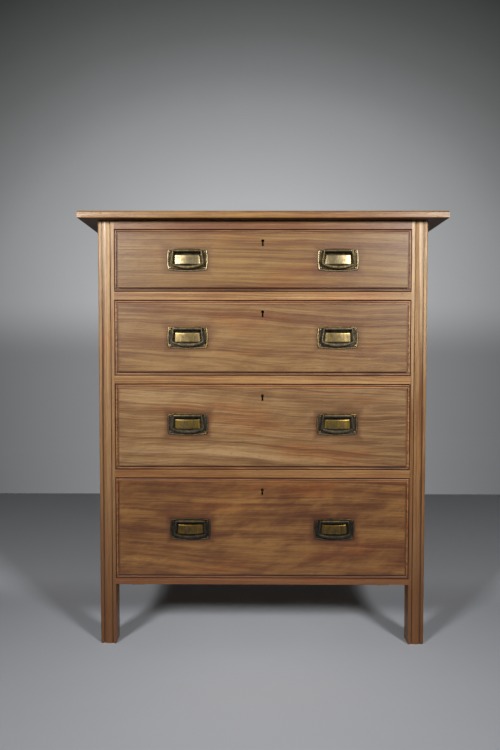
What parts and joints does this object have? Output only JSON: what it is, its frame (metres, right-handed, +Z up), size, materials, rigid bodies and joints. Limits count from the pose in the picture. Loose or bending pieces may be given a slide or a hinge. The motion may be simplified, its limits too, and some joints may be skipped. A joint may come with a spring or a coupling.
{
  "type": "chest of drawers",
  "caption": "Floor-standing chest of graduated long drawers on square moulded legs, with a thin overhanging top, bead-edged fronts, keyholes and swinging bail handles.",
  "frame": {"origin": "on the floor, under the centre of the top board", "axes": "+Z up, +X to the right of someone who stands in front, +Y from the drawer fronts to the back"},
  "size_m": [0.914, 0.47, 1.092],
  "materials": {
    "case_wood": "hardwood with a warm red-brown rubbed polish",
    "top_wood": "hardwood board with a warm red-brown rubbed polish",
    "front_wood_one": "figured hardwood, wavy grain, rubbed polish",
    "front_wood_two": "figured hardwood, gentle cathedral grain, rubbed polish",
    "front_wood_three": "figured hardwood, wavy grain, rubbed polish, darker",
    "front_wood_four": "figured hardwood, curly grain, dark rubbed polish",
    "moulding_wood": "dark red-brown hardwood moulding, polished",
    "inner_wood": "plain secondary wood, unpolished",
    "drawer_wood": "plain drawer lining wood, unpolished",
    "handle_brass": "aged brass, dark brown patina rubbed bright on the raised parts",
    "lock_brass": "dull brass",
    "lock_steel": "dull steel"
  },
  "bodies": {
    "case": {"top_board": "top_wood", "front_top_rail": "case_wood", "drawer_rail_one": "case_wood", "drawer_rail_two": "case_wood", "drawer_rail_three": "case_wood", "front_bottom_rail": "case_wood", "drawer_kickers": "inner_wood", "drawer_runners": "inner_wood", "drawer_guides": "inner_wood", "drawer_stops": "inner_wood", "side_rails_right": "case_wood", "side_rails_left": "case_wood", "side_panel_right": "case_wood", "side_panel_left": "case_wood", "back_rails": "inner_wood", "back_panel": "inner_wood", "post_front_right": "case_wood", "post_front_left": "case_wood", "post_back_right": "case_wood", "post_back_left": "case_wood"},
    "drawer_one": {"drawer_one_front": "front_wood_one", "drawer_one_moulding": "moulding_wood", "drawer_one_sides": "drawer_wood", "drawer_one_back": "drawer_wood", "drawer_one_bottom": "drawer_wood", "drawer_one_lock_case": "lock_brass", "drawer_one_handle_plates": "handle_brass"},
    "drawer_one_bolt": {"drawer_one_lock_bolt": "lock_steel"},
    "drawer_one_bail_left_swing": {"drawer_one_bail_left": "handle_brass"},
    "drawer_one_bail_right_swing": {"drawer_one_bail_right": "handle_brass"},
    "drawer_two": {"drawer_two_front": "front_wood_two", "drawer_two_moulding": "moulding_wood", "drawer_two_sides": "drawer_wood", "drawer_two_back": "drawer_wood", "drawer_two_bottom": "drawer_wood", "drawer_two_lock_case": "lock_brass", "drawer_two_handle_plates": "handle_brass"},
    "drawer_two_bolt": {"drawer_two_lock_bolt": "lock_steel"},
    "drawer_two_bail_left_swing": {"drawer_two_bail_left": "handle_brass"},
    "drawer_two_bail_right_swing": {"drawer_two_bail_right": "handle_brass"},
    "drawer_three": {"drawer_three_front": "front_wood_three", "drawer_three_moulding": "moulding_wood", "drawer_three_sides": "drawer_wood", "drawer_three_back": "drawer_wood", "drawer_three_bottom": "drawer_wood", "drawer_three_lock_case": "lock_brass", "drawer_three_handle_plates": "handle_brass"},
    "drawer_three_bolt": {"drawer_three_lock_bolt": "lock_steel"},
    "drawer_three_bail_left_swing": {"drawer_three_bail_left": "handle_brass"},
    "drawer_three_bail_right_swing": {"drawer_three_bail_right": "handle_brass"},
    "drawer_four": {"drawer_four_front": "front_wood_four", "drawer_four_moulding": "moulding_wood", "drawer_four_sides": "drawer_wood", "drawer_four_back": "drawer_wood", "drawer_four_bottom": "drawer_wood", "drawer_four_lock_case": "lock_brass", "drawer_four_handle_plates": "handle_brass"},
    "drawer_four_bolt": {"drawer_four_lock_bolt": "lock_steel"},
    "drawer_four_bail_left_swing": {"drawer_four_bail_left": "handle_brass"},
    "drawer_four_bail_right_swing": {"drawer_four_bail_right": "handle_brass"}
  },
  "joints": [
    {"name": "drawer_one_slide", "type": "slide", "parent": "case", "child": "drawer_one", "axis": [0, -1, 0], "range_m": [0, 0.3]},
    {"name": "drawer_one_bolt_slide", "type": "slide", "parent": "drawer_one", "child": "drawer_one_bolt", "axis": [0, 0, 1], "range_m": [0, 0.007]},
    {"name": "drawer_one_bail_left_hinge", "type": "hinge", "parent": "drawer_one", "child": "drawer_one_bail_left_swing", "pos_m": [-0.1875, -0.222, 0.996], "axis": [-1, 0, 0], "range_deg": [0, 175]},
    {"name": "drawer_one_bail_right_hinge", "type": "hinge", "parent": "drawer_one", "child": "drawer_one_bail_right_swing", "pos_m": [0.1875, -0.222, 0.996], "axis": [-1, 0, 0], "range_deg": [0, 175]},
    {"name": "drawer_two_slide", "type": "slide", "parent": "case", "child": "drawer_two", "axis": [0, -1, 0], "range_m": [0, 0.3]},
    {"name": "drawer_two_bolt_slide", "type": "slide", "parent": "drawer_two", "child": "drawer_two_bolt", "axis": [0, 0, 1], "range_m": [0, 0.007]},
    {"name": "drawer_two_bail_left_hinge", "type": "hinge", "parent": "drawer_two", "child": "drawer_two_bail_left_swing", "pos_m": [-0.1875, -0.222, 0.803], "axis": [-1, 0, 0], "range_deg": [0, 175]},
    {"name": "drawer_two_bail_right_hinge", "type": "hinge", "parent": "drawer_two", "child": "drawer_two_bail_right_swing", "pos_m": [0.1875, -0.222, 0.803], "axis": [-1, 0, 0], "range_deg": [0, 175]},
    {"name": "drawer_three_slide", "type": "slide", "parent": "case", "child": "drawer_three", "axis": [0, -1, 0], "range_m": [0, 0.3]},
    {"name": "drawer_three_bolt_slide", "type": "slide", "parent": "drawer_three", "child": "drawer_three_bolt", "axis": [0, 0, 1], "range_m": [0, 0.007]},
    {"name": "drawer_three_bail_left_hinge", "type": "hinge", "parent": "drawer_three", "child": "drawer_three_bail_left_swing", "pos_m": [-0.1875, -0.222, 0.586], "axis": [-1, 0, 0], "range_deg": [0, 175]},
    {"name": "drawer_three_bail_right_hinge", "type": "hinge", "parent": "drawer_three", "child": "drawer_three_bail_right_swing", "pos_m": [0.1875, -0.222, 0.586], "axis": [-1, 0, 0], "range_deg": [0, 175]},
    {"name": "drawer_four_slide", "type": "slide", "parent": "case", "child": "drawer_four", "axis": [0, -1, 0], "range_m": [0, 0.3]},
    {"name": "drawer_four_bolt_slide", "type": "slide", "parent": "drawer_four", "child": "drawer_four_bolt", "axis": [0, 0, 1], "range_m": [0, 0.007]},
    {"name": "drawer_four_bail_left_hinge", "type": "hinge", "parent": "drawer_four", "child": "drawer_four_bail_left_swing", "pos_m": [-0.1815, -0.222, 0.3195], "axis": [-1, 0, 0], "range_deg": [0, 175]},
    {"name": "drawer_four_bail_right_hinge", "type": "hinge", "parent": "drawer_four", "child": "drawer_four_bail_right_swing", "pos_m": [0.1815, -0.222, 0.3195], "axis": [-1, 0, 0], "range_deg": [0, 175]}
  ]
}
